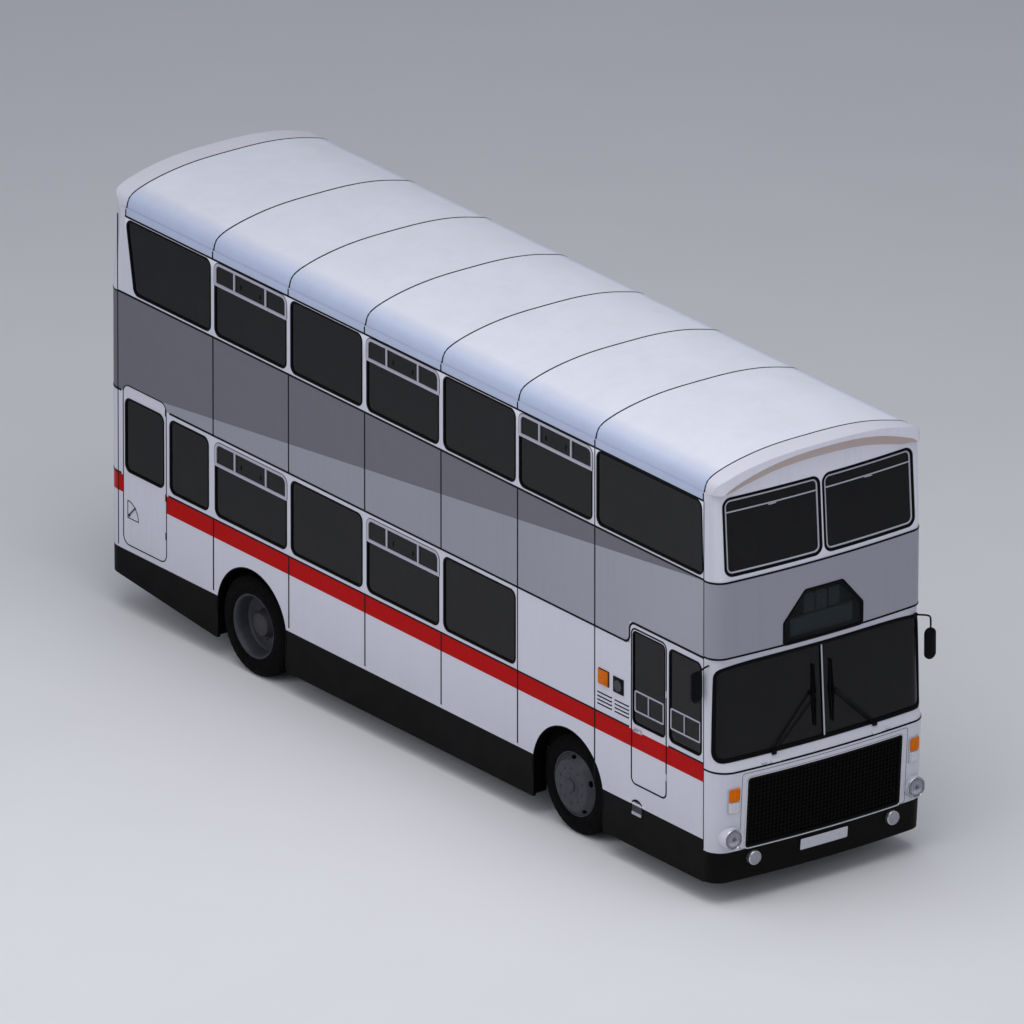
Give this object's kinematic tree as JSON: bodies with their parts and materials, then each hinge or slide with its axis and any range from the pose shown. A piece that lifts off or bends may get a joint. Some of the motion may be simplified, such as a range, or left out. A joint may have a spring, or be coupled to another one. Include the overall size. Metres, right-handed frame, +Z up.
{
  "type": "double-decker bus",
  "caption": "Front-engined double-decker bus with hollow saloons, steering front wheels, twin rear wheels, driver's, emergency and folding entrance doors.",
  "frame": {"origin": "on the ground at the centre of the whole vehicle's outline, mirrors included", "axes": "+X to the vehicle's left (passenger door side), -Y to the front, +Z up"},
  "size_m": [2.8, 9.86, 4.491],
  "materials": {
    "paint_white": "gloss coach paint, slightly dirty",
    "paint_roof": "gloss white",
    "paint_band": "gloss grey, two tones",
    "paint_black": "satin black",
    "glass_dark": "dark tinted safety glass",
    "tyre": "black rubber",
    "wheel_paint": "dark grey wheel paint",
    "steel_dark": "black chassis paint",
    "cast_grey": "oily cast iron",
    "grille_black": "black mesh in a bright frame",
    "lamp_lens": "clear and amber lenses",
    "rear_lens": "red and amber lenses",
    "black_plastic": "moulded black",
    "floor_cover": "ribbed floor covering",
    "seat_fabric": "moquette",
    "grey_trim": "grey laminate and moulded trim",
    "door_aluminium": "anodised frame"
  },
  "bodies": {
    "root": {"cab_fittings": "grey_trim", "chassis_frame": "steel_dark", "destination_box": "black_plastic", "driveline": "cast_grey", "driver_seat": "seat_fabric", "engine": "cast_grey", "front_axle": "steel_dark", "front_band_panel": "paint_band", "front_bumper": "paint_black", "front_dome": "paint_roof", "front_lamps": "lamp_lens", "front_panel": "paint_white", "front_upper_windows": "glass_dark", "fuel_tank": "steel_dark", "grille": "grille_black", "leaf_springs": "steel_dark", "lower_floor": "floor_cover", "lower_side_left": "paint_white", "lower_side_right": "paint_white", "mirrors": "black_plastic", "passenger_seats": "seat_fabric", "rear_axle": "cast_grey", "rear_dome": "paint_roof", "rear_lamps": "rear_lens", "rear_panel": "paint_white", "rear_windows": "glass_dark", "roof": "paint_roof", "seat_frames": "steel_dark", "side_windows_left": "glass_dark", "side_windows_right": "glass_dark", "skirts": "paint_black", "staircase": "grey_trim", "steering_wheel": "black_plastic", "upper_floor": "floor_cover", "upper_side_left": "paint_band", "upper_side_right": "paint_band", "windscreen": "glass_dark", "wipers": "black_plastic"},
    "knuckle_left": {"knuckle_left": "cast_grey"},
    "knuckle_right": {"knuckle_right": "cast_grey"},
    "track_rod": {"track_rod": "steel_dark"},
    "front_wheel_left": {"front_rim_left": "wheel_paint", "front_tyre_left": "tyre"},
    "front_wheel_right": {"front_rim_right": "wheel_paint", "front_tyre_right": "tyre"},
    "rear_wheels_left": {"rear_rims_left": "wheel_paint", "rear_tyres_left": "tyre"},
    "rear_wheels_right": {"rear_rims_right": "wheel_paint", "rear_tyres_right": "tyre"},
    "driver_door": {"driver_door": "paint_white", "driver_door_window": "glass_dark"},
    "emergency_door": {"emergency_door": "paint_white", "emergency_door_window": "glass_dark"},
    "entrance_leaf_front": {"entrance_leaf_front": "door_aluminium", "entrance_glass_front": "glass_dark"},
    "entrance_leaf_rear": {"entrance_leaf_rear": "door_aluminium", "entrance_glass_rear": "glass_dark"}
  },
  "joints": [
    {"name": "steer_left", "type": "hinge", "parent": "root", "child": "knuckle_left", "pos_m": [0.86, -2.5, 0.509], "axis": [0, 0, 1], "range_deg": [-36, 36]},
    {"name": "steer_right", "type": "hinge", "parent": "root", "child": "knuckle_right", "pos_m": [-0.86, -2.5, 0.509], "axis": [0, 0, 1], "range_deg": [-36, 36]},
    {"name": "track_rod_pivot", "type": "hinge", "parent": "knuckle_left", "child": "track_rod", "pos_m": [0.86, -2.25, 0.37], "axis": [0, 0, 1], "range_deg": [-36, 36]},
    {"name": "front_wheel_left_spin", "type": "hinge", "parent": "knuckle_left", "child": "front_wheel_left", "pos_m": [1.04, -2.5, 0.509], "axis": [1, 0, 0], "continuous": true},
    {"name": "front_wheel_right_spin", "type": "hinge", "parent": "knuckle_right", "child": "front_wheel_right", "pos_m": [-1.04, -2.5, 0.509], "axis": [1, 0, 0], "continuous": true},
    {"name": "rear_wheels_left_spin", "type": "hinge", "parent": "root", "child": "rear_wheels_left", "pos_m": [0.945, 2.54, 0.509], "axis": [1, 0, 0], "continuous": true},
    {"name": "rear_wheels_right_spin", "type": "hinge", "parent": "root", "child": "rear_wheels_right", "pos_m": [-0.945, 2.54, 0.509], "axis": [1, 0, 0], "continuous": true},
    {"name": "driver_door_hinge", "type": "hinge", "parent": "root", "child": "driver_door", "pos_m": [-1.255, -4.042, 1.6], "axis": [0, 0, 1], "range_deg": [0, 85]},
    {"name": "emergency_door_hinge", "type": "hinge", "parent": "root", "child": "emergency_door", "pos_m": [-1.255, 3.9125, 1.5], "axis": [0, 0, 1], "range_deg": [0, 100]},
    {"name": "entrance_front_hinge", "type": "hinge", "parent": "root", "child": "entrance_leaf_front", "pos_m": [1.205, -4.403, 1.37], "axis": [0, 0, 1], "range_deg": [0, 85]},
    {"name": "entrance_fold_hinge", "type": "hinge", "parent": "entrance_leaf_front", "child": "entrance_leaf_rear", "pos_m": [1.249, -3.89, 1.37], "axis": [0, 0, 1], "range_deg": [-170, 0]}
  ],
  "couplings": [
    {"joint": "steer_right", "follows": "steer_left", "ratio": 1},
    {"joint": "track_rod_pivot", "follows": "steer_left", "ratio": -1},
    {"joint": "entrance_fold_hinge", "follows": "entrance_front_hinge", "ratio": -2}
  ]
}
